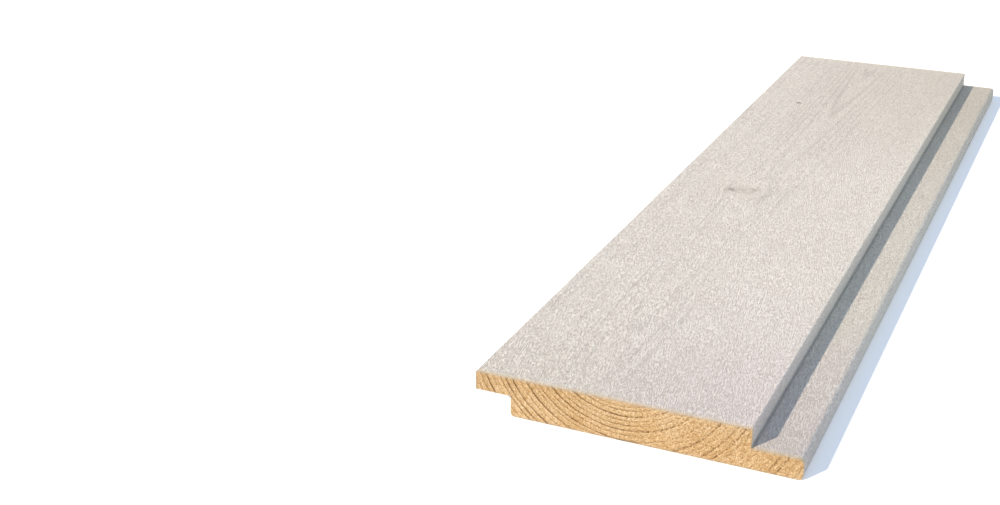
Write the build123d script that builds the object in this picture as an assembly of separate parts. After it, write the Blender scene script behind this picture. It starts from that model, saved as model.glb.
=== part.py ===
from build123d import *
import os

# Rebated cladding board, planed from one length of softwood and lying face up.
# X runs across the board, from the lip to the tongue. Y runs along it. Z goes up
# from the back. The origin is on the back, under the middle of the board.

# The board
board_length = 600.0
board_thickness = 19.0

# How boards lie side by side
cover_width = 131.5      # from the edge of one lip to the edge of the next
channel_width = 5.3      # open joint between the face of a board and the next lip

# The half lap
lap_width = 17.2         # how far the lip stands out over the next board's tongue
tongue_thickness = 10.0  # wood that is left under the channel and the lap
tip_clearance = 0.2      # from the tip of the tongue to the next board's body

# Long edges, rounded by the moulder
face_radius = 0.6        # both edges of the face
lip_radius = 0.5         # lower edge of the lip
tongue_radius = 2.4      # upper edge of the tongue
back_radius = 2.0        # both edges of the back
root_radius = 0.4        # the two inner corners, as the cutters leave them

# Sizes that follow from the ones above
face_width = cover_width - channel_width
tongue_width = channel_width + lap_width - tip_clearance
board_width = face_width + tongue_width


def board_section():
    """The board's outline across its length, with its lip on the left.

    The outline is walked clockwise from the back's left edge: up the body to the
    lip's underside, out and up round the lip, over the face, down the channel's
    wall, out along the top of the tongue and down its tip to the back.
    """
    lip_edge = -board_width / 2
    tongue_tip = board_width / 2
    body_wall = lip_edge + lap_width
    face_edge = lip_edge + face_width
    corners = [
        ((body_wall, 0), back_radius),
        ((body_wall, tongue_thickness), root_radius),
        ((lip_edge, tongue_thickness), lip_radius),
        ((lip_edge, board_thickness), face_radius),
        ((face_edge, board_thickness), face_radius),
        ((face_edge, tongue_thickness), root_radius),
        ((tongue_tip, tongue_thickness), tongue_radius),
        ((tongue_tip, 0), back_radius),
    ]
    points = [point for point, radius in corners]
    radii = [radius for point, radius in corners]
    outline = FilletPolyline(*points, radius=radii, close=True)
    return make_face(outline.edges())


def cladding_board():
    """The whole board: its section carried along Y, half to each side of the origin."""
    section = Plane.XZ * board_section()
    return extrude(section, amount=board_length / 2, both=True)


os.makedirs("parts", exist_ok=True)
board = cladding_board()
export_step(board, "parts/cladding_board.step")
print("section", round(board.volume / board_length, 1), "mm2")
print("cover", cover_width, "face", face_width, "overall width", board_width)
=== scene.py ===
# %% [markdown]
# # A whitewashed, rebated cladding board
#
# The real board is one length of softwood. A moulder has cut a lip on one long edge and
# a tongue on the other, a fine saw has roughened what stays in sight, and a white stain
# has been rolled over it. The ends were cut afterwards, so they show bare yearly rings.
#
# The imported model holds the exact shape. Here the board is made again as a finer skin
# with its sawn fibres, and gets one solid wood that is right on the face and the ends.

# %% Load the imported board
import math
import bpy
import numpy as np
from mathutils import Matrix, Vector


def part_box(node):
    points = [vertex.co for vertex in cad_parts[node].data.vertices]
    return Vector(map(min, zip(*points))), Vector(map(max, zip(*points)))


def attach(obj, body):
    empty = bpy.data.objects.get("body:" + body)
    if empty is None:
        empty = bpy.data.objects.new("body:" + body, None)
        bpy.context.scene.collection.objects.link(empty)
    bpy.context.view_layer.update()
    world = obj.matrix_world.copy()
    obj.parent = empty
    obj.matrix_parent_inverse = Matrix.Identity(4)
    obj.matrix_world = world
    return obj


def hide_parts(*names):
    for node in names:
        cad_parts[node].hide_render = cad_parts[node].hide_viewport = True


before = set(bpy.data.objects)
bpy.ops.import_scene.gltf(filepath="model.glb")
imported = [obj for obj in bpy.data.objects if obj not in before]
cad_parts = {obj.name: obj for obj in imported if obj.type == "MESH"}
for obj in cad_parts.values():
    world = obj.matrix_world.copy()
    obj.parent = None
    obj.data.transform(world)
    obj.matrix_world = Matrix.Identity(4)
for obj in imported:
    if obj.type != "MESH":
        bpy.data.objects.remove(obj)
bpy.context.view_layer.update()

MM = 0.001
lowest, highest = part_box("cladding_board")
board_width = (highest[0] - lowest[0]) / MM
board_length = (highest[1] - lowest[1]) / MM
board_thickness = (highest[2] - lowest[2]) / MM
print("board", round(board_width, 2), "x", round(board_length, 2), "x", round(board_thickness, 2), "mm")

# %% [markdown]
# ## The section
#
# Seen from its end the board is an outline of straight cuts joined by small rounded
# edges. A bevel on a drawn shape could round them too, but worked out as an outline the
# skin gets a point every half millimetre where the sawn fibres show, few points on the
# hidden back, and each point knows which way is out and how thick the white stain is.

# %% Sizes of the section, in millimetres
lap_width = 17.2         # how far the lip stands out
channel_width = 5.3      # open joint beside the face
tongue_thickness = 10.0  # wood under the channel and the lap
tip_clearance = 0.2      # gap beyond the tongue's tip
face_radius = 0.6        # both edges of the face
lip_radius = 0.5         # lower edge of the lip
tongue_radius = 2.4      # upper edge of the tongue
back_radius = 2.0        # both edges of the back
root_radius = 0.4        # the two inner corners

lip_edge = -board_width / 2
tongue_tip = board_width / 2
body_wall = lip_edge + lap_width
face_edge = tongue_tip - channel_width - lap_width + tip_clearance
print("face from", round(lip_edge, 2), "to", round(face_edge, 2), "mm across")

# %% Corners of the section
# Each corner has its place and radius, and then, for the run that follows it, the gap
# between points and the thickness of the white stain, from 0 for none to 1.
section_corners = [
    ((body_wall, 0.0), back_radius, 1.0, 0.65),
    ((body_wall, tongue_thickness), root_radius, 1.0, 0.7),
    ((lip_edge, tongue_thickness), lip_radius, 0.6, 1.0),
    ((lip_edge, board_thickness), face_radius, 0.5, 1.0),
    ((face_edge, board_thickness), face_radius, 0.6, 1.0),
    ((face_edge, tongue_thickness), root_radius, 0.5, 0.85),
    ((tongue_tip, tongue_thickness), tongue_radius, 0.6, 0.85),
    ((tongue_tip, 0.0), back_radius, 5.0, 0.0),
]
print("corners", len(section_corners))


# %% Walk round the section
def section_outline(corners, arc_steps=4):
    """The outline as arrays: each point's place, its outward direction and its stain.

    Between corners the points are evenly spaced. A corner of radius r is a quarter
    circle that starts and ends r away from it: centre + r * (cos a * the outward
    direction of the run before + sin a * that of the run after), with a from 0 to a
    quarter turn. An inner corner bends the other way, so its r counts as negative.
    """
    places, outward, stain = [], [], []
    turn = np.linspace(0, math.pi / 2, arc_steps + 1)[:, None]
    for k, (corner, radius, gap, wash) in enumerate(corners):
        next_corner, next_radius = corners[(k + 1) % len(corners)][:2]
        here, before, after = map(np.array, (corner, corners[k - 1][0], next_corner))
        came = (here - before) / np.linalg.norm(here - before)
        goes = (after - here) / np.linalg.norm(after - here)
        came_out = np.array([-came[1], came[0]])
        goes_out = np.array([-goes[1], goes[0]])
        centre = here + (goes - came) * radius
        bulge = -np.sign(came_out @ goes)
        arc_out = np.cos(turn) * came_out + np.sin(turn) * goes_out
        places.append(centre + arc_out * radius * bulge)
        outward.append(arc_out)
        stain.append(np.linspace(corners[k - 1][3], wash, arc_steps + 1))

        start = here + goes * radius
        run = after - goes * next_radius - start
        steps = max(2, round(np.linalg.norm(run) / gap))
        share = np.linspace(0, 1, steps + 1)[1:-1, None]
        places.append(start + run * share)
        outward.append(np.broadcast_to(goes_out, (steps - 1, 2)))
        stain.append(np.full(steps - 1, wash))
    return np.concatenate(places), np.concatenate(outward), np.concatenate(stain)


outline, outline_out, outline_stain = section_outline(section_corners)
print("outline", len(outline), "points, from", outline.min(0).round(2), "to", outline.max(0).round(2))

# %% [markdown]
# ## Sawn fibres
#
# A fine saw tears the soft wood a little and leaves short ridges that run with the
# grain. Drawn by a bump alone they would vanish from the outline and from the mesh, so
# the coarser ones are cut into the skin and only the finest are left to the material.
# They are cut inwards, so the board never grows past its sizes.

# %% Sizes of the fibres
# For each size of ridge: its share of the depth, how far apart the ridges are and how
# long, in millimetres, and the seed of its random values.
fibre_sizes = [(0.60, 1.9, 14, 11), (0.25, 3.7, 34, 12), (0.15, 9.0, 90, 13)]
fibre_depth = 0.09       # from the top of a ridge to the bottom of a hollow
planed_share = 0.25      # what is left of that on the back and in the rebate, which are planed
print("sizes of fibre", len(fibre_sizes), "cut", fibre_depth, "mm deep")


# %% Height of the fibres
def ease(t):
    """Goes from 0 to 1 as t does, flat at both ends: 3 t^2 - 2 t^3."""
    return t * t * (3 - 2 * t)


def sawn_fibres(across, along, pitch, length, seed, value_count=256, furthest_start=50):
    """Heights from 0 to 1 for ridges `pitch` apart and about `length` long.

    The surface is divided into strips that run along the board. A strip's height goes
    smoothly through random values set `length` apart, from a start of its own, and a
    point blends its own strip with the next one, by how far across its strip it lies.
    """
    chance = np.random.default_rng(seed)
    strip = np.floor(across / pitch).astype(int)
    side = ease(across / pitch - strip)
    strip = strip - strip.min()
    starts = chance.random(strip.max() + 2) * furthest_start
    values = chance.random((strip.max() + 2, value_count))

    def height(number):
        step = along / length + starts[number]
        whole = np.floor(step).astype(int)
        low = values[number, whole % value_count]
        high = values[number, (whole + 1) % value_count]
        return low + (high - low) * ease(step - whole)

    return height(strip) * (1 - side) + height(strip + 1) * side


print("ease goes", [round(ease(t), 3) for t in (0.0, 0.25, 0.5, 0.75, 1.0)])

# %% [markdown]
# ## Knots
#
# A knot is the foot of a branch, a cone that starts at the pith. The stain hides most of
# it, but its dark heart has shrunk and left a small hollow. A boolean cut would leave a
# hard rim, so each hollow is a soft dent in the skin. A knot's place is given on the
# face, in millimetres across and along the board from its middle.

# %% Hollows in the knots
knot_middle = (-30.0, -22.0)
knot_heart = (-37.0, -23.5)
pin_knot = (-44.5, 171.5)
hollows = [(knot_heart, 2.0, 0.12), (pin_knot, 1.5, 0.25)]   # place, radius and depth


def hollow_depth(across, along):
    """Depth of the hollows: each is depth * e^-(distance / radius)^2 round its middle."""
    depth = 0
    for (x, y), radius, deep in hollows:
        depth = depth + deep * np.exp(-((across - x) ** 2 + (along - y) ** 2) / radius**2)
    return depth


print("hollows", len(hollows))

# %% Rows along the board
row_gap = 3.0
close_gap = 1.0          # gap between rows round a hollow
hollow_reach = 8         # how far those rows go to either side of it
end_arris = 0.05         # the saw leaves this much of the ends' edges broken
end_y = board_length / 2
rows = np.linspace(-end_y + end_arris, end_y - end_arris, round(board_length / row_gap) + 1)
for x, y in (knot_heart, pin_knot):
    near_knot = np.arange(y - hollow_reach, y + hollow_reach, close_gap)
    rows = rows[(rows < near_knot[0] - close_gap / 2) | (rows > near_knot[-1] + close_gap / 2)]
    rows = np.sort(np.concatenate([rows, near_knot]))
print("rows", len(rows))

# %% [markdown]
# ## The board's skin
#
# The outline is carried along the board as a grid: a column for each point of the
# outline, a row for each place along it. An extrusion would do for the bare shape, but a
# grid lets every point move by the depth of its fibre. Two more rows, drawn in by the
# broken edge, close the ends with one flat face each. The stain stops there, because
# the boards are cut after they are coated.


# %% Carry the section along the board
def board_skin(edge_fade=6, well_stained=0.8):
    """Points of the board as a grid, and the thickness of the stain on each.

    A point is the outline's point at its row, moved inwards by the depth of the fibres
    and the hollows. The fibres are the sum of the sizes of ridge. They die out round
    the rounded edges, where the outward direction isn't square to a face, the more
    quickly the higher edge_fade is. A side is sawn if its stain is over well_stained.
    """
    steps = np.linalg.norm(np.diff(outline, axis=0, prepend=outline[:1]), axis=1)
    across = np.cumsum(steps)[None, :]
    along = rows[:, None]
    ridges = 0
    for share, pitch, length, seed in fibre_sizes:
        ridges = ridges + share * sawn_fibres(across, along, pitch, length, seed)
    square = np.abs(outline_out).max(axis=1) ** edge_fade
    sawn = planed_share + (1 - planed_share) * (outline_stain > well_stained)
    depth = fibre_depth * (1 - ridges) * (square * sawn)[None, :]
    above_channel = outline[:, 1] > (tongue_thickness + board_thickness) / 2
    on_face = np.clip(outline_out[:, 1] * above_channel, 0, 1)
    depth = depth + hollow_depth(outline[None, :, 0], along) * on_face[None, :]

    section = outline[None] - outline_out[None] * depth[..., None]
    ends = section[[0, -1]] - outline_out[None] * end_arris
    section = np.concatenate([ends[:1], section, ends[1:]])
    place_along = np.concatenate([[-end_y], rows, [end_y]])
    points = np.empty(section.shape[:2] + (3,))
    points[..., 0] = section[..., 0]
    points[..., 1] = place_along[:, None]
    points[..., 2] = section[..., 1]
    stain = np.broadcast_to(outline_stain, section.shape[:2]).copy()
    stain[[0, -1]] = 0
    return points, stain


skin_points, skin_stain = board_skin()
print("grid", skin_stain.shape[0], "rows of", skin_stain.shape[1], "points")

# %% Faces of the grid
row_count, column_count = skin_stain.shape
number = np.arange(row_count * column_count).reshape(row_count, column_count)
ahead = np.roll(number, -1, axis=1)
quads = np.stack([number[:-1], ahead[:-1], ahead[1:], number[1:]], axis=-1).reshape(-1, 4)
loops = np.concatenate([quads.ravel(), number[0][::-1], number[-1]])
sizes = np.concatenate([np.full(len(quads), 4), [column_count, column_count]])
print("skin", number.size, "points,", 2 * len(quads) + 2 * (column_count - 2), "triangles")

# %% Put the skin into a mesh
sharp_edge = 40          # degrees between two faces, past which their edge stays sharp
board_mesh = bpy.data.meshes.new("dressed_board")
board_mesh.vertices.add(number.size)
board_mesh.vertices.foreach_set("co", (skin_points * MM).ravel())
board_mesh.loops.add(len(loops))
board_mesh.loops.foreach_set("vertex_index", loops)
board_mesh.polygons.add(len(sizes))
board_mesh.polygons.foreach_set("loop_start", np.cumsum(sizes) - sizes)
board_mesh.update(calc_edges=True)
stain_layer = board_mesh.attributes.new("stain", "FLOAT", "POINT")
stain_layer.data.foreach_set("value", skin_stain.ravel())
board_mesh.polygons.foreach_set("use_smooth", np.ones(len(sizes), dtype=bool))
board_mesh.set_sharp_from_angle(angle=math.radians(sharp_edge))
board_mesh.validate()
dressed_board = bpy.data.objects.new("dressed_board", board_mesh)
bpy.context.scene.collection.objects.link(dressed_board)
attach(dressed_board, "root")
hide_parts("cladding_board")
print("faces", len(board_mesh.polygons), "edges", len(board_mesh.edges))

# %% [markdown]
# ## Shorthand for shader nodes
#
# A material is a tree of small nodes. These helpers place a node and plug in its inputs
# in one line, so that a cell reads like the sum it stands for. A value from 0 to 255 is
# what a painter would measure off a print, so colours are written that way.


# %% Place a node
def place(tree, kind, settings=None, **sockets):
    """Adds a node. Sockets are named with _ for a space, or by number as s0, s1."""
    node = tree.nodes.new("ShaderNode" + kind)
    for name, value in (settings or {}).items():
        setattr(node, name, value)
    for name, value in sockets.items():
        key = int(name[1:]) if name[0] == "s" and name[1:].isdigit() else name.replace("_", " ")
        if isinstance(value, bpy.types.NodeSocket):
            tree.links.new(value, node.inputs[key])
        else:
            node.inputs[key].default_value = value
    return node


# %% Sums on numbers and vectors
def calc(tree, operation, *values, clamp=False):
    """One sum on plain numbers."""
    sockets = {"s" + str(k): value for k, value in enumerate(values)}
    return place(tree, "Math", {"operation": operation, "use_clamp": clamp}, **sockets).outputs[0]


def product(tree, first, *others):
    """Multiplies numbers, from the left."""
    for other in others:
        first = calc(tree, "MULTIPLY", first, other)
    return first


def vector(tree, operation, *values, out=0, **more):
    """One sum on vectors. LENGTH, DISTANCE and DOT_PRODUCT come out as numbers at out=1."""
    sockets = {"s" + str(k): value for k, value in enumerate(values)}
    return place(tree, "VectorMath", {"operation": operation}, **sockets, **more).outputs[out]


def join(tree, **parts):
    """A vector from its parts X, Y and Z. One that isn't given is 0."""
    return place(tree, "CombineXYZ", None, **parts).outputs[0]


def split(tree, whole):
    """The three parts of a vector."""
    return place(tree, "SeparateXYZ", None, Vector=whole).outputs


print("helpers", [helper.__name__ for helper in (place, calc, product, vector, join, split)])


# %% Masks and random patterns
def between(tree, value, low, high, to_low=0.0, to_high=1.0):
    """Eases smoothly from to_low to to_high while value goes from low to high."""
    sockets = dict(Value=value, From_Min=low, From_Max=high, To_Min=to_low, To_Max=to_high)
    return place(tree, "MapRange", {"interpolation_type": "SMOOTHSTEP"}, **sockets).outputs["Result"]


def mix(tree, share, first, second):
    """Mixes two numbers."""
    return place(tree, "Mix", None, s0=share, s2=first, s3=second).outputs[0]


def noise(tree, place_in, detail=2.0, roughness=0.5):
    """Smooth random value from about 0.2 to 0.8 whose bumps are one unit apart."""
    sockets = dict(Vector=place_in, Scale=1.0, Detail=detail, Roughness=roughness)
    return place(tree, "TexNoise", {"noise_dimensions": "3D"}, **sockets).outputs["Fac"]


def patches(tree, place_in, scale, low, high, to_low=0.0, to_high=1.0, **fineness):
    """Noise as a mask. Scale is how many bumps it has to a millimetre each way."""
    random = noise(tree, vector(tree, "MULTIPLY", place_in, scale), **fineness)
    return between(tree, random, low, high, to_low, to_high)


def drift(tree, place_in, scale, detail=2.0):
    """A smooth random shift each way, from about -0.3 to 0.3."""
    stretched = vector(tree, "MULTIPLY", place_in, scale)
    shift = place(tree, "TexNoise", None, Vector=stretched, Scale=1.0, Detail=detail)
    return vector(tree, "SUBTRACT", shift.outputs["Color"], (0.5, 0.5, 0.5))


print("helpers", [helper.__name__ for helper in (between, mix, noise, patches, drift)])


# %% Colours
def blend(tree, share, first, second, mode="MIX"):
    """Mixes two colours."""
    node = place(tree, "Mix", {"data_type": "RGBA", "blend_type": mode}, s0=share, s6=first, s7=second)
    return node.outputs[2]


def shade(red, green, blue):
    """A colour written from 0 to 255, as the linear light that nodes work in."""
    parts = np.array([red, green, blue]) / 255
    linear = np.where(parts <= 0.04045, parts / 12.92, ((parts + 0.055) / 1.055) ** 2.4)
    return (*linear.tolist(), 1.0)


print("middle grey is", round(shade(128, 128, 128)[0], 3), "in linear light")


# %% Node groups
def group(name, inputs, outputs):
    """An empty node group with named sockets, each a Vector, Float or Color."""
    tree = bpy.data.node_groups.new(name, "ShaderNodeTree")
    for label, kind in inputs.items():
        tree.interface.new_socket(label, in_out="INPUT", socket_type="NodeSocket" + kind)
    for label, kind in outputs.items():
        tree.interface.new_socket(label, in_out="OUTPUT", socket_type="NodeSocket" + kind)
    return tree, tree.nodes.new("NodeGroupInput").outputs, tree.nodes.new("NodeGroupOutput").inputs


def use(tree, group_tree, **sockets):
    """Places a node group in a material."""
    return place(tree, "Group", {"node_tree": group_tree}, **sockets).outputs


print("helpers", [helper.__name__ for helper in (group, use)])

# %% [markdown]
# ## A branch inside the wood
#
# A knot is solid: it starts at the pith, widens outwards and comes out at the face. So
# it isn't painted on the face but worked out as a cone in space, and each side of the
# board cuts it where it should. The share is 0 on the branch's axis and 1 on its bark.
# The trunk's wood swells round it, and its fibres flow past it as water does past a
# post, so the group also tells how much they swell and how far aside they are pushed.

# %% Node group for a branch
narrow_root = 0.02       # share of the radius that is left at the pith
swell_fade = 0.28        # how quickly the swelling dies away from the branch
bend_fade = 0.125        # the same for the fibres that are pushed aside
bend_core = 5.0          # keeps that push small on the axis
bend_size = 1.3
branch, given, result = group(
    "branch in wood",
    {"Place": "Vector", "Root": "Vector", "Tip": "Vector", "Radius": "Float"},
    {"Share": "Float", "Swell": "Float", "Bend": "Float"},
)
reach = vector(branch, "SUBTRACT", given["Tip"], given["Root"])
axis = vector(branch, "NORMALIZE", reach)
from_root = vector(branch, "SUBTRACT", given["Place"], given["Root"])
run = vector(branch, "DOT_PRODUCT", from_root, axis, out=1)
foot = vector(branch, "SCALE", axis, Scale=run)
aside = vector(branch, "DISTANCE", from_root, foot, out=1)
full_run = vector(branch, "LENGTH", reach, out=1)
run_share = calc(branch, "MAXIMUM", calc(branch, "DIVIDE", run, full_run), narrow_root)
share = calc(branch, "DIVIDE", aside, product(branch, run_share, given["Radius"]))
branch.links.new(share, result["Share"])
square_share = product(branch, share, share)
swell = calc(branch, "EXPONENT", product(branch, square_share, -swell_fade))
branch.links.new(swell, result["Swell"])
sideways = split(branch, vector(branch, "SUBTRACT", from_root, foot))[0]
core = calc(branch, "SQRT", calc(branch, "ADD", square_share, bend_core))
sideways = calc(branch, "DIVIDE", sideways, core)
fade = calc(branch, "EXPONENT", product(branch, square_share, -bend_fade))
branch.links.new(product(branch, sideways, fade, bend_size), result["Bend"])
print("node group", branch.name, "with", len(branch.nodes), "nodes")

# %% [markdown]
# ## Yearly rings
#
# A tree lays down a pale, soft layer each spring and a thin, dark, hard one each summer,
# as sleeves round the pith. The pith of this board ran above its face, so the end shows
# arcs that hang down. It came nearer to the face from one end to the other, so the face
# cuts one sleeve after the next, each in a faint pointed arch. Stripes could be painted
# on each side, but they would never meet at the edges. So the ring number is a curve of
# the distance to the pith, read off the end with a ruler, and every side agrees.

# %% What the end shows
# Places on the pith in mm: along the board, across it and up.
pith_path = [
    (-300, -8, 46.4), (-288, -24.5, 43.7), (-236, -25, 41.6), (-200, -25, 40.6), (-130, -25, 40.15),
    (0, -22, 39.2), (150, -17, 36.85), (255, -15, 34.3), (300, -15, 33.3),
]
# Distance from the pith to each dark layer in mm, and how dark it is left and right of
# the pith, from 0 to 1.
dark_layers = [
    (29.5, 0.45, 0.4), (31.2, 0.7, 0.5), (34.0, 1.0, 0.8), (36.0, 0.45, 0.35), (38.2, 0.65, 0.4),
    (40.6, 1.0, 1.0), (42.8, 0.5, 0.25), (45.5, 1.0, 0.4), (47.3, 0.5, 0.25), (50.4, 0.85, 0.9),
    (53.0, 0.35, 0.2), (56.2, 1.0, 0.8), (59.0, 0.95, 1.0), (61.2, 0.6, 0.6), (64.6, 0.3, 0.2),
    (67.5, 0.95, 0.35), (70.0, 0.5, 0.25), (73.0, 0.3, 0.2), (75.4, 0.95, 1.0), (78.1, 0.8, 0.9),
    (81.2, 0.5, 0.4),
]
inner_years = 12         # years between the pith and the first layer of the list
outer_gap = 2.9          # gap between the layers beyond the list, in mm
print("years in the section", inner_years + len(dark_layers))

# %% A curve for the node tree
curve_span = 100.0       # millimetres that a curve's run from 0 to 1 stands for
year_span = 50.0         # years that it stands for


def curve_node(tree, value, knots):
    """A Float Curve that runs smoothly through the given points."""
    node = place(tree, "FloatCurve", None, Value=value)
    line = node.mapping.curves[0]
    line.points[0].location = knots[0]
    line.points[1].location = knots[-1]
    for x, y in knots[1:-1]:
        line.points.new(x, y)
    for point in line.points:
        point.handle_type = "AUTO_CLAMPED"
    node.mapping.update()
    return node.outputs[0]


rings, given, result = group(
    "yearly rings",
    {"Place": "Vector", "Push": "Float"},
    {"Summer": "Float", "Grown": "Float", "Ray": "Float", "Dash": "Float"},
)
print("node group", rings.name)

# %% Arm from the pith
place_x, place_y, place_z = split(rings, given["Place"])
down_board = calc(rings, "DIVIDE", calc(rings, "ADD", place_y, end_y), board_length)
x_points = [((y + end_y) / board_length, 0.5 + x / curve_span) for y, x, z in pith_path]
z_points = [((y + end_y) / board_length, z / curve_span) for y, x, z in pith_path]
pith_x = curve_node(rings, down_board, x_points)
pith_z = curve_node(rings, down_board, z_points)
pith_x = calc(rings, "MULTIPLY_ADD", pith_x, curve_span, -curve_span / 2)
off_x = calc(rings, "SUBTRACT", place_x, pith_x)
off_z = calc(rings, "SUBTRACT", place_z, product(rings, pith_z, curve_span))
distance = vector(rings, "LENGTH", join(rings, X=off_x, Z=off_z), out=1)
lean = calc(rings, "DIVIDE", off_x, distance)
turn = calc(rings, "ARCTAN2", off_x, product(rings, off_z, -1.0))
print("pith from", pith_path[0][2], "to", pith_path[-1][2], "mm above the back")

# %% [markdown]
# No tree grows evenly. This one made wider rings to the right, and every ring wavers:
# slowly along the trunk, and quickly within a millimetre. Both waves are added to the
# distance before the ring is read off, so that all the rings waver together.

# %% From distance to years
wider_share = 0.085      # how much wider the rings are at the right
slow_waver = 1.2         # millimetres for each unit of noise
quick_waver = 0.9
outer_wood = between(rings, distance, 25.5, 31.0)
wide_side = between(rings, lean, -0.3, 0.9, 0.0, wider_share)
wide_side = calc(rings, "MULTIPLY_ADD", wide_side, outer_wood, 1.0)
slow_place = vector(rings, "MULTIPLY", given["Place"], (0.06, 0.008, 0.06))
slow_wave = calc(rings, "SUBTRACT", noise(rings, slow_place), 0.5)
quick_place = vector(rings, "MULTIPLY", given["Place"], (0.7, 0.03, 0.7))
quick_wave = calc(rings, "SUBTRACT", noise(rings, quick_place, detail=4.0, roughness=0.65), 0.5)
distance = calc(rings, "DIVIDE", distance, wide_side)
distance = calc(rings, "MULTIPLY_ADD", slow_wave, slow_waver, distance)
distance = calc(rings, "MULTIPLY_ADD", quick_wave, quick_waver, distance)
distance = calc(rings, "SUBTRACT", distance, given["Push"])

last_layer, last_year = dark_layers[-1][0], inner_years + len(dark_layers) - 1
years = [(0.0, 0.0)]
years += [(layer[0] / curve_span, (inner_years + k) / year_span) for k, layer in enumerate(dark_layers)]
years += [(1.0, (last_year + (curve_span - last_layer) / outer_gap) / year_span)]
year = curve_node(rings, calc(rings, "DIVIDE", distance, curve_span), years)
year = product(rings, year, year_span)
print("years from the pith to", round(curve_span), "mm:", round(years[-1][1] * year_span, 1))

# %% [markdown]
# Within a year the wood darkens slowly and stops at once. Some years come out darker
# than others, and not alike on both sides of the pith, so each year has a strength for
# its left and one for its right. A saw also smears and tears a layer here and there,
# more so at the right of this end.

# %% Dark layers
summer_starts, summer_full, summer_stops = 0.58, 0.9, 0.92   # shares of the year's growth
lead_in = 1.6            # the inmost strength holds until so many years before the list
grown = calc(rings, "FRACT", year)
darkens = between(rings, grown, summer_starts, summer_full)
summer = product(rings, darkens, between(rings, grown, summer_stops, 1.0, 1.0, 0.0))
year_number = calc(rings, "DIVIDE", calc(rings, "FLOOR", year), year_span)


def darkness(side, inmost, outmost):
    """How dark a year's layer is, by its number, left (1) or right (2) of the pith."""
    points = [(0.0, inmost), ((inner_years - lead_in) / year_span, inmost)]
    points += [((inner_years + k - 1) / year_span, layer[side]) for k, layer in enumerate(dark_layers)]
    return curve_node(rings, year_number, points + [(1.0, outmost)])


def round_pith(outward, by_turn, by_length, by_outward):
    """A place for noise that follows the rings: the turn round the pith, the place along
    the board and the way outwards, each times how many bumps there are to a unit."""
    turned, drawn = product(rings, turn, by_turn), product(rings, place_y, by_length)
    return join(rings, X=turned, Y=drawn, Z=product(rings, outward, by_outward))


to_right = between(rings, lean, 0.1, 0.42)
strength = mix(rings, to_right, darkness(1, 0.75, 0.6), darkness(2, 0.75, 0.4))
smear = noise(rings, round_pith(year, 9.0, 0.012, 0.9), detail=4.0)
uneven = between(rings, smear, 0.38, 0.6, 0.5, 1.0)
uneven = mix(rings, outer_wood, 0.9, uneven)
torn = patches(rings, given["Place"], (0.9, 0.02, 0.9), 0.42, 0.6, 0.15, 1.0, detail=3.0, roughness=0.6)
torn = mix(rings, product(rings, to_right, outer_wood), 1.0, torn)
strength = product(rings, strength, uneven, torn)
rings.links.new(product(rings, summer, strength), result["Summer"])
shown_grown = product(rings, grown, calc(rings, "MULTIPLY_ADD", strength, 0.7, 0.3))
rings.links.new(shown_grown, result["Grown"])
print("dark layers", len(dark_layers))

# %% [markdown]
# Rays run outwards from the pith, across the rings, and show on an end as hair-fine
# pale and dark lines. The saw breaks them into short dashes. Both are noise drawn out
# along the arm from the pith, by taking its angle as one side of the pattern.

# %% Rays and dashes
ray = noise(rings, round_pith(distance, 90.0, 0.1, 0.35))
rings.links.new(between(rings, ray, 0.3, 0.7), result["Ray"])
dash = noise(rings, round_pith(distance, 26.0, 0.1, 1.7))
rings.links.new(between(rings, dash, 0.42, 0.62), result["Dash"])
print("node group", rings.name, "with", len(rings.nodes), "nodes")

# %% [markdown]
# ## Fine fibres
#
# Between the ridges of the skin the saw leaves finer ones, under a millimetre apart.
# Cut into the skin they would take millions of points. So they are noise drawn out
# along the board and bent a little from side to side, and they carry both the fine bump
# and the grey in the hollows, partly stain that has gone into them and partly painted shade.

# %% Node group for fine fibres
fibre_sway = 0.6         # millimetres for each unit of drift
fibres, given, result = group(
    "fine fibres",
    {"Place": "Vector", "Pitch": "Float", "Length": "Float"},
    {"Height": "Float"},
)
sway = drift(fibres, given["Place"], (0.05, 0.09, 0.05))
sway = vector(fibres, "MULTIPLY", sway, (fibre_sway, 0.0, fibre_sway))
swayed = vector(fibres, "ADD", given["Place"], sway)
thin = calc(fibres, "DIVIDE", 1.0, given["Pitch"])
long = calc(fibres, "DIVIDE", 1.0, given["Length"])
height = patches(fibres, swayed, join(fibres, X=thin, Y=long, Z=thin), 0.33, 0.67)
fibres.links.new(height, result["Height"])
print("node group", fibres.name, "with", len(fibres.nodes), "nodes")

# %% [markdown]
# ## Whitewashed softwood
#
# Two finishes meet on the board: bare wood on its ends and back, and white stain on the
# rest. Two materials would part in a hard line, but stain wears through at an edge and
# creeps into the fibres of a cut end. So one material holds both, and a mask made from
# the mesh's own stain layer says how much of each there is.

# %% The board's own place in millimetres
board_wood = bpy.data.materials.new("whitewashed softwood")
board_wood.use_nodes = True
tree = board_wood.node_tree
tree.nodes.clear()
object_place = place(tree, "TexCoord").outputs["Object"]
spot = vector(tree, "SCALE", object_place, Scale=1 / MM)
across, along, up = split(tree, spot)
from_end = calc(tree, "SUBTRACT", end_y, calc(tree, "ABSOLUTE", along))
print("material", board_wood.name)

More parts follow.
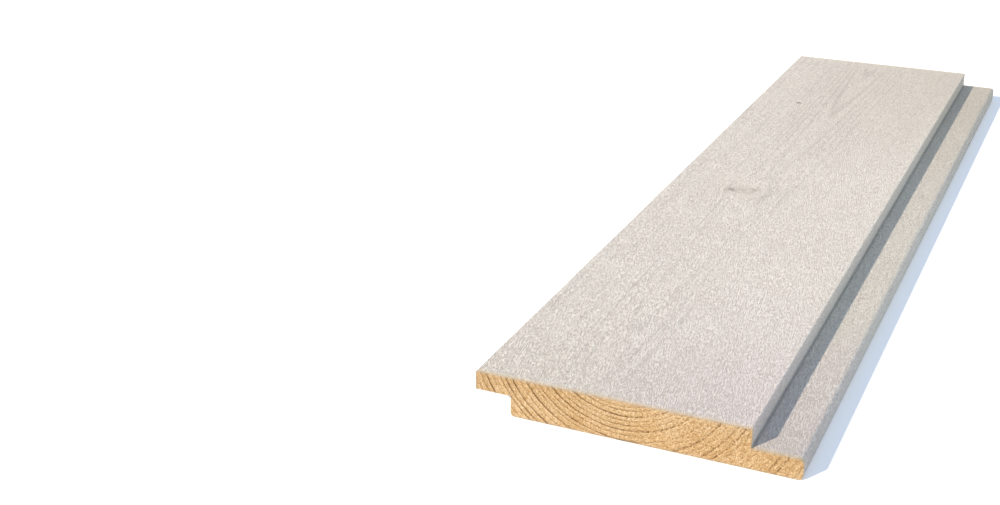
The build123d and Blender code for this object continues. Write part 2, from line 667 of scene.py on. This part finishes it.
# %% Branches and rings
main_push = 5.5          # millimetres that a branch pushes the rings out
pin_push = 1.5
main_branch = use(
    tree, branch, Place=spot,
    Root=(-22.0, -26.0, 39.0), Tip=(*knot_middle, board_thickness), Radius=7.0,
)
pin_branch = use(
    tree, branch, Place=spot,
    Root=(-16.0, 160.0, 36.0), Tip=(*pin_knot, board_thickness), Radius=1.2,
)
push = product(tree, main_branch["Swell"], main_push)
push = calc(tree, "MULTIPLY_ADD", pin_branch["Swell"], pin_push, push)
ring = use(tree, rings, Place=spot, Push=push)
in_branch = between(tree, main_branch["Share"], 0.85, 1.0, 1.0, 0.0)
print("branches and rings,", len(tree.nodes), "nodes")

# %% Fibres that flow round the branches
bend = calc(tree, "ADD", main_branch["Bend"], pin_branch["Bend"])
bent_spot = vector(tree, "SUBTRACT", spot, join(tree, X=bend))
fine = use(tree, fibres, Place=bent_spot, Pitch=0.36, Length=2.2)["Height"]
middle = use(tree, fibres, Place=bent_spot, Pitch=0.8, Length=7.0)["Height"]
coarse = use(tree, fibres, Place=bent_spot, Pitch=3.0, Length=26.0)["Height"]
print("three sizes of fine fibre")

# %% [markdown]
# ## Bare wood
#
# Fresh softwood is the colour of straw and turns to honey through the year's growth, up
# to the brown of the summer layer. A saw cuts across a bundle of tiny tubes, so the end
# has fine dark pores, rays and dashes. Each of these is one mask that multiplies a tint
# into the wood, because a tint that darkens leaves the rings under it in sight.

# %% Colours of the bare wood
cloud = patches(tree, spot, (0.09, 0.01, 0.09), 0.3, 0.7, detail=3.0)
spring_wood = blend(tree, cloud, shade(236, 213, 177), shade(227, 199, 154))
late_spring = blend(tree, cloud, shade(211, 180, 131), shade(201, 170, 121))
summer_wood = blend(tree, cloud, shade(114, 76, 30), shade(104, 70, 28))
wood = blend(tree, ring["Grown"], spring_wood, late_spring)
wood = blend(tree, ring["Summer"], wood, summer_wood)

pore = patches(tree, spot, (1.35, 0.15, 1.35), 0.36, 0.66, roughness=0.6)
wood = blend(tree, product(tree, pore, 0.8), wood, shade(197, 184, 158), mode="MULTIPLY")
wood = blend(tree, ring["Dash"], wood, shade(228, 216, 194), mode="MULTIPLY")
wood = blend(tree, product(tree, ring["Ray"], 0.4), wood, shade(232, 214, 190), mode="MULTIPLY")
mottle = patches(tree, spot, (0.75, 0.02, 0.75), 0.38, 0.62, detail=3.0, roughness=0.65)
mottle = product(tree, mottle, between(tree, across, 0.0, 35.0, 0.25, 1.0))
wood = blend(tree, mottle, wood, shade(238, 230, 217), mode="MULTIPLY")
wood = blend(tree, product(tree, in_branch, 0.75), wood, shade(120, 76, 42))
print("bare wood,", len(tree.nodes), "nodes")

# %% [markdown]
# ## White stain
#
# The stain is a thin white that was rolled on. It is a little warm, rosier where it lies
# thick at the right of the near end, and darker towards both ends, which is painted shade.
# It sinks into the hollows between the fibres, and the wood tints it there. A plain white
# with a bump would look like plastic, so the fibres that make the bump also darken the
# hollows, partly as the stain's grey and partly as painted shade of their relief.

# %% Tone of the stain, and painted shade towards the ends
warm_white, rosy_white = shade(240, 231, 215), shade(236, 224, 216)
tone_place = vector(tree, "MULTIPLY", spot, (0.03, 0.012, 0.03))
tone = calc(tree, "SUBTRACT", noise(tree, tone_place, detail=3.0), 0.5)
rosy = product(tree, between(tree, along, -130.0, -300.0), between(tree, across, -55.0, 45.0))
rosy = calc(tree, "MULTIPLY_ADD", tone, 0.5, rosy, clamp=True)
white = blend(tree, rosy, warm_white, rosy_white)
# Painted shade darkens the stain towards the far end and the near end; grey adds the stain's random
# tone to it.
far_end_shade = between(tree, along, -60.0, 300.0)
far_end_shade = product(tree, far_end_shade, between(tree, across, -80.0, 50.0, 0.3, 1.0))
near_end_shade = product(tree, between(tree, along, -210.0, -300.0), 0.45)
grey = calc(tree, "MAXIMUM", far_end_shade, near_end_shade)
grey = calc(tree, "ADD", grey, product(tree, tone, 0.6), clamp=True)
white = blend(tree, grey, white, shade(236, 234, 230), mode="MULTIPLY")
print("tone of the stain,", len(tree.nodes), "nodes")

# %% Stain and painted shade in the hollows of the fibres
usual_hollow = 0.42      # how deep a hollow is on average, from 0 to 1
rough_here = patches(tree, bent_spot, (0.12, 0.04, 0.12), 0.36, 0.64, 0.9, 1.24)
rough_here = calc(tree, "MULTIPLY_ADD", main_branch["Swell"], -0.7, rough_here)
ridge = calc(tree, "MULTIPLY_ADD", middle, 0.15, product(tree, fine, 0.85))
hollow_grey_and_shade = between(tree, ridge, 0.2, 0.68, 1.0, 0.0)
hollow_grey_and_shade = calc(tree, "SUBTRACT", hollow_grey_and_shade, usual_hollow)
hollow_grey_and_shade = calc(tree, "MULTIPLY_ADD", hollow_grey_and_shade, rough_here, usual_hollow)
hollow_grey_and_shade = calc(tree, "MULTIPLY", hollow_grey_and_shade, between(tree, across, -40.0, 30.0, 0.56, 0.5), clamp=True)
# The hollows between the fibres are greyed, partly by stain and partly as painted shade of their
# relief.
white = blend(tree, hollow_grey_and_shade, white, shade(172, 153, 139))
print("hollows of the fibres,", len(tree.nodes), "nodes")

# %% [markdown]
# ## Grain that shows through the stain
#
# The stain leaves only a breath of the rings on the face: clearer at the left and
# towards the far end, faint beside the knot and at the ends. So the same rings as on the
# cut end are blended in, weakened by masks, and no second pattern is needed. Long pale
# grey streaks run with them, and round the knot two rings that it has pushed aside come
# through as darker lines.

# %% Rings on the face
knot_along = -30.0       # the grain is faint near here
arches_along = -190.0    # and near here, where the arches are wide
from_knot = calc(tree, "ABSOLUTE", calc(tree, "SUBTRACT", along, knot_along))
from_arches = calc(tree, "ABSOLUTE", calc(tree, "SUBTRACT", along, arches_along))
show = product(
    tree,
    between(tree, across, 0.0, 25.0, 0.42, 0.06),
    between(tree, across, -62.0, -36.0, 0.4, 1.0),
    between(tree, from_end, 8.0, 30.0, 0.2, 1.0),
    between(tree, from_knot, 60.0, 170.0, 0.5, 1.0),
    between(tree, from_arches, 20.0, 110.0, 0.62, 1.0),
    calc(tree, "MULTIPLY_ADD", main_branch["Swell"], -0.5, 1.0),
)
figure = product(tree, calc(tree, "POWER", ring["Grown"], 3.0), 0.3)
figure = calc(tree, "MAXIMUM", ring["Summer"], figure)
white = blend(tree, product(tree, figure, show), white, shade(160, 150, 138))
print("rings on the face,", len(tree.nodes), "nodes")

# %% Streaks and pushed rings
streak = patches(tree, bent_spot, (0.42, 0.012, 0.42), 0.55, 0.68)
streak = product(
    tree, streak,
    between(tree, across, -52.0, 20.0, 2.0, 0.5),
    between(tree, main_branch["Share"], 1.3, 4.5, 0.12, 0.07),
)
white = blend(tree, streak, white, shade(150, 140, 128))
bent_across = split(tree, bent_spot)[0]
skin_of_face = between(tree, up, board_thickness - 1.0, board_thickness - 0.8)


def pushed_ring(colour, at, width, centre, half_length, strength):
    """The dark edge of a ring, beside the knot, that the branch has pushed aside."""
    off = calc(tree, "ABSOLUTE", calc(tree, "SUBTRACT", bent_across, at))
    off_end = calc(tree, "ABSOLUTE", calc(tree, "SUBTRACT", along, centre))
    mask = between(tree, off, 0.0, width, strength, 0.0)
    mask = product(tree, mask, between(tree, off_end, half_length * 0.3, half_length, 1.0, 0.0))
    return blend(tree, product(tree, mask, skin_of_face), colour, shade(140, 130, 120))


white = pushed_ring(white, at=-17.4, width=3.0, centre=-31.0, half_length=17.0, strength=0.26)
white = pushed_ring(white, at=-5.8, width=1.6, centre=-32.0, half_length=30.0, strength=0.22)
# Painted shade round the knot, where the calmer bump would otherwise leave the stain lighter.
white = blend(tree, main_branch["Swell"], white, shade(233, 231, 229), mode="MULTIPLY")
print("streaks and pushed rings,", len(tree.nodes), "nodes")

# %% [markdown]
# ## Knots under the stain
#
# Resin in a knot soaks back through the stain, so it shows as a faint smudge with a
# dark heart, a broken rim of bark and one dark bow. A clean ring would look printed.
# The rim comes from the branch's own share, broken by noise, and the smudges are round
# spots whose places are shaken a little, which makes their edges ragged.

# %% Rim of the knot
patchy = patches(tree, spot, (0.5, 0.45, 0.5), 0.38, 0.62, detail=3.0)
dark_side = between(tree, across, knot_middle[0] - 1.0, knot_middle[0] + 6.0, 0.15, 1.0)
rim_share = 0.85         # the bark's place, as a share of the branch's radius
bark = calc(tree, "ABSOLUTE", calc(tree, "SUBTRACT", main_branch["Share"], rim_share))
bark = product(tree, between(tree, bark, 0.0, 0.4, 0.32, 0.0), dark_side)
bark = product(tree, bark, calc(tree, "MULTIPLY_ADD", patchy, 0.5, 0.5))
white = blend(tree, bark, white, shade(138, 128, 118))
heartwood = product(tree, in_branch, calc(tree, "MULTIPLY_ADD", patchy, 0.16, 0.04))
white = blend(tree, heartwood, white, shade(150, 142, 132))
print("rim of the knot,", len(tree.nodes), "nodes")

# %% Smudges in the knots
ragged = vector(tree, "MULTIPLY", drift(tree, spot, (0.5, 0.35, 0.5), detail=3.0), (3.0, 3.0, 0.0))
ragged_spot = vector(tree, "ADD", spot, ragged)
# Where each smudge is on the face, its radius, its strength and its colour.
smudges = [
    (knot_heart, 5.5, 0.28, (124, 117, 110)),
    (knot_heart, 2.8, 0.42, (98, 91, 86)),
    ((-24.2, -18.5), 4.0, 0.33, (130, 120, 112)),
    ((-30.5, -21.5), 3.4, 0.27, (130, 120, 112)),
    (pin_knot, 3.2, 0.25, (130, 120, 110)),
    (pin_knot, 2.2, 0.95, (64, 56, 50)),
]
for centre, radius, strength, tint in smudges:
    away = vector(tree, "DISTANCE", ragged_spot, (*centre, board_thickness), out=1)
    mask = between(tree, away, radius * 0.1, radius, strength, 0.0)
    white = blend(tree, mask, white, shade(*tint))
print("smudges", len(smudges))

# %% [markdown]
# ## Where the stain lies
#
# The roller misses the rounded edges of the back, where the stain breaks up. At the cut
# ends it stops at once on the face, but the saw chips it along the edge. The end grain has
# a grey rim about a millimetre deep along its edges, partly stain that it has drunk and
# partly painted shade. The mesh's stain layer says where the runs of the section are
# coated, and a grainy noise frays every border.

# %% Worn borders
speck = patches(tree, spot, (1.7, 0.2, 1.7), 0.36, 0.64, detail=4.0, roughness=0.7)
speck = calc(tree, "SUBTRACT", speck, 0.5)
stain = place(tree, "Attribute", {"attribute_name": "stain"}).outputs["Fac"]
cover = between(tree, calc(tree, "MULTIPLY_ADD", speck, 0.25, stain), 0.3, 0.62)
end_wear = calc(tree, "MULTIPLY_ADD", speck, 0.8, from_end)
cover = product(tree, cover, between(tree, end_wear, -0.2, 1.4, 0.6, 1.0))
white = blend(tree, between(tree, end_wear, 0.0, 4.0, 0.75, 0.0), white, shade(229, 204, 166))
# Darker on the tongue, its tip and the rebate, where the stain layer is under 0.86.
darker_tongue_and_rebate = between(tree, stain, 0.86, 0.99, 1.0, 0.0)
white = blend(tree, darker_tongue_and_rebate, white, shade(240, 241, 240), mode="MULTIPLY")
print("worn borders,", len(tree.nodes), "nodes")

# %% Soaked and shaded rim of the ends
top_here = between(tree, across, face_edge - 0.05, face_edge + 0.05, board_thickness, tongue_thickness)
edge_here = calc(tree, "SUBTRACT", across, lip_edge)
edge_here = calc(tree, "MINIMUM", edge_here, calc(tree, "SUBTRACT", top_here, up))
edge_here = calc(tree, "MINIMUM", edge_here, up)
edge_here = calc(tree, "MULTIPLY_ADD", speck, -0.8, edge_here)
# The end grain is greyed along its edges: partly stain soaked into it, partly painted shade.
soaked_and_shaded_rim = between(tree, edge_here, -0.2, 1.4, 0.55, 0.0)
wood = blend(tree, soaked_and_shaded_rim, wood, shade(172, 158, 138))
print("soaked rim,", len(tree.nodes), "nodes")

# %% Painted shade in the channel's corner
corner_of_channel = (face_edge, 0.0, tongue_thickness)
from_corner = vector(tree, "DISTANCE", join(tree, X=across, Z=up), corner_of_channel, out=1)
# The corner where the channel's wall meets the tongue is darkened: this is painted shade.
painted_corner_shade = between(tree, from_corner, 0.2, 1.6, 1.0, 0.0)
white = blend(tree, painted_corner_shade, white, shade(206, 208, 210), mode="MULTIPLY")
colour = blend(tree, cover, wood, white)
print("colour done,", len(tree.nodes), "nodes")

# %% [markdown]
# ## Surface
#
# Neither stain nor sawn wood shines: both are rough, and only the hard summer layers
# and the tops of the fibres are a little smoother. The bump holds the fibres that are
# too fine for the skin. It is calmer round the knot, where the wood is dense.

# %% Roughness, bump and shader
bare_rough = calc(tree, "MULTIPLY_ADD", ring["Summer"], -0.12, 0.86)
white_rough = calc(tree, "MULTIPLY_ADD", fine, -0.14, 0.74)
rough = mix(tree, cover, bare_rough, white_rough)
relief = calc(tree, "MULTIPLY_ADD", middle, 0.2, fine)
relief = calc(tree, "MULTIPLY_ADD", coarse, 0.15, relief)
relief = product(tree, relief, calc(tree, "MULTIPLY_ADD", main_branch["Swell"], -0.6, 1.0))
relief = calc(tree, "MULTIPLY_ADD", ring["Summer"], 0.15, relief)
bump_depth = 0.28        # millimetres for a relief of 1
bump = place(tree, "Bump", None, Strength=1.0, Distance=bump_depth * MM, Height=relief)
board_surface = place(
    tree, "BsdfPrincipled", None, Base_Color=colour, Roughness=rough, Normal=bump.outputs[0],
    IOR=1.45,
)
surface_out = tree.nodes.new("ShaderNodeOutputMaterial")
tree.links.new(board_surface.outputs[0], surface_out.inputs["Surface"])
board_mesh.materials.append(board_wood)
print("material", board_wood.name, "with", len(tree.nodes), "nodes")

# %% [markdown]
# ## Floor
#
# The board lies face up on a plain pale floor. It has to look white behind the board and
# still take its shadow, and more light would burn out the stain. So only for what the
# camera, a gloss or a glass sees, the floor gives off a little light of its own.


# %% Pale floor under the board
def seen_straight(tree):
    """1 for a ray from the camera, a gloss or a glass, and 0 for scattered light."""
    path = place(tree, "LightPath").outputs
    straight = calc(tree, "MAXIMUM", path["Is Camera Ray"], path["Is Glossy Ray"])
    return calc(tree, "MAXIMUM", straight, path["Is Transmission Ray"])


floor_half = 6.0         # metres
floor_glow = 0.27
floor_mesh = bpy.data.meshes.new("floor")
floor_corners = [(-floor_half, -floor_half, 0), (floor_half, -floor_half, 0),
                 (floor_half, floor_half, 0), (-floor_half, floor_half, 0)]
floor_mesh.from_pydata(floor_corners, [], [(0, 1, 2, 3)])
floor = bpy.data.objects.new("floor", floor_mesh)
bpy.context.scene.collection.objects.link(floor)
floor_paint = bpy.data.materials.new("pale floor")
floor_paint.use_nodes = True
tree = floor_paint.node_tree
tree.nodes.clear()
matt = place(tree, "BsdfDiffuse", None, Color=(0.8, 0.8, 0.8, 1.0)).outputs[0]
glow = place(tree, "Emission", None, Color=(1.0, 1.0, 1.0, 1.0), Strength=floor_glow).outputs[0]
both = place(tree, "AddShader", None, s0=matt, s1=glow).outputs[0]
floor_mix = place(tree, "MixShader", None, s0=seen_straight(tree), s1=matt, s2=both).outputs[0]
floor_out = tree.nodes.new("ShaderNodeOutputMaterial")
tree.links.new(floor_mix, floor_out.inputs["Surface"])
floor_mesh.materials.append(floor_paint)
print("floor", 2 * floor_half, "m wide")

# %% [markdown]
# ## Light
#
# One low lamp from the front left, as far away as a window on a clear day, rakes the
# fibres and drops the face's shadow into the channel. A broad, weak one from the right
# keeps the channel's wall from going black. The room round them is dim and a little
# blue, which colours the shadow, and the pale floor lifts the edges.

# %% Lamps
def far_lamp(name, travels, strength, colour, spread):
    """A lamp so far away that its rays run side by side. At strength 1 a white surface
    square to it comes out white. Spread is how wide it looks, in degrees, and softens
    the edges of its shadow."""
    lamp_data = bpy.data.lights.new(name, "SUN")
    lamp_data.energy = math.pi * strength
    lamp_data.color = colour
    lamp_data.angle = math.radians(spread)
    lamp = bpy.data.objects.new(name, lamp_data)
    back = -np.array(travels) / np.linalg.norm(travels)
    lamp.rotation_euler = (math.acos(back[2]), 0.0, math.atan2(back[0], -back[1]))
    bpy.context.scene.collection.objects.link(lamp)
    print(name, round(math.degrees(math.asin(back[2])), 1), "degrees above the floor")


shadow_run = (7.8, 14.1, -9.0)   # from the face's edge to its shadow on the tongue, in mm
from_right = (-1.0, 0.1, -0.16)
far_lamp("window light", shadow_run, strength=1.645, colour=(1.0, 0.885, 0.765), spread=2.0)
far_lamp("wall light", from_right, strength=0.258, colour=(0.88, 1.0, 1.0), spread=40.0)

# %% Room
room = bpy.data.worlds.new("room")
bpy.context.scene.world = room
room.use_nodes = True
tree = room.node_tree
tree.nodes.clear()
dim_blue = (0.362, 0.485, 0.68, 1.0)
dim = place(tree, "Background", None, Color=dim_blue, Strength=1.0).outputs[0]
white_back = place(tree, "Background", None, Color=(1.0, 1.0, 1.0, 1.0), Strength=1.0).outputs[0]
room_mix = place(tree, "MixShader", None, s0=seen_straight(tree), s1=dim, s2=white_back).outputs[0]
room_out = tree.nodes.new("ShaderNodeOutputWorld")
tree.links.new(room_mix, room_out.inputs["Surface"])
bpy.context.scene.view_settings.view_transform = "Standard"
print("world", room.name)

# %% [markdown]
# ## Camera
#
# The board's edges in the photograph run to points far outside it, and those fix where
# its camera stood: a little to the right of the near end, 31 cm above the floor, turned
# left and tilted down. These are that camera's place in metres, its turn and its lens.

# %% Camera
camera_data = bpy.data.cameras.new("camera")
camera_data.sensor_width = 36.0
camera_data.lens = 51.978
camera = bpy.data.objects.new("camera", camera_data)
camera_place = (0.174007, -0.816808, 0.313447)
turn_left = math.radians(24.576)
tilt_down = math.radians(22.511)
roll = math.radians(0.050)
turned = (
    Matrix.Rotation(turn_left, 4, "Z")
    @ Matrix.Rotation(math.pi / 2 - tilt_down, 4, "X")
    @ Matrix.Rotation(roll, 4, "Z")
)
camera.matrix_world = Matrix.Translation(camera_place) @ turned
bpy.context.scene.collection.objects.link(camera)
bpy.context.scene.camera = camera
print("camera", [round(value, 3) for value in camera.location])

# %% Update the scene
bpy.context.view_layer.update()
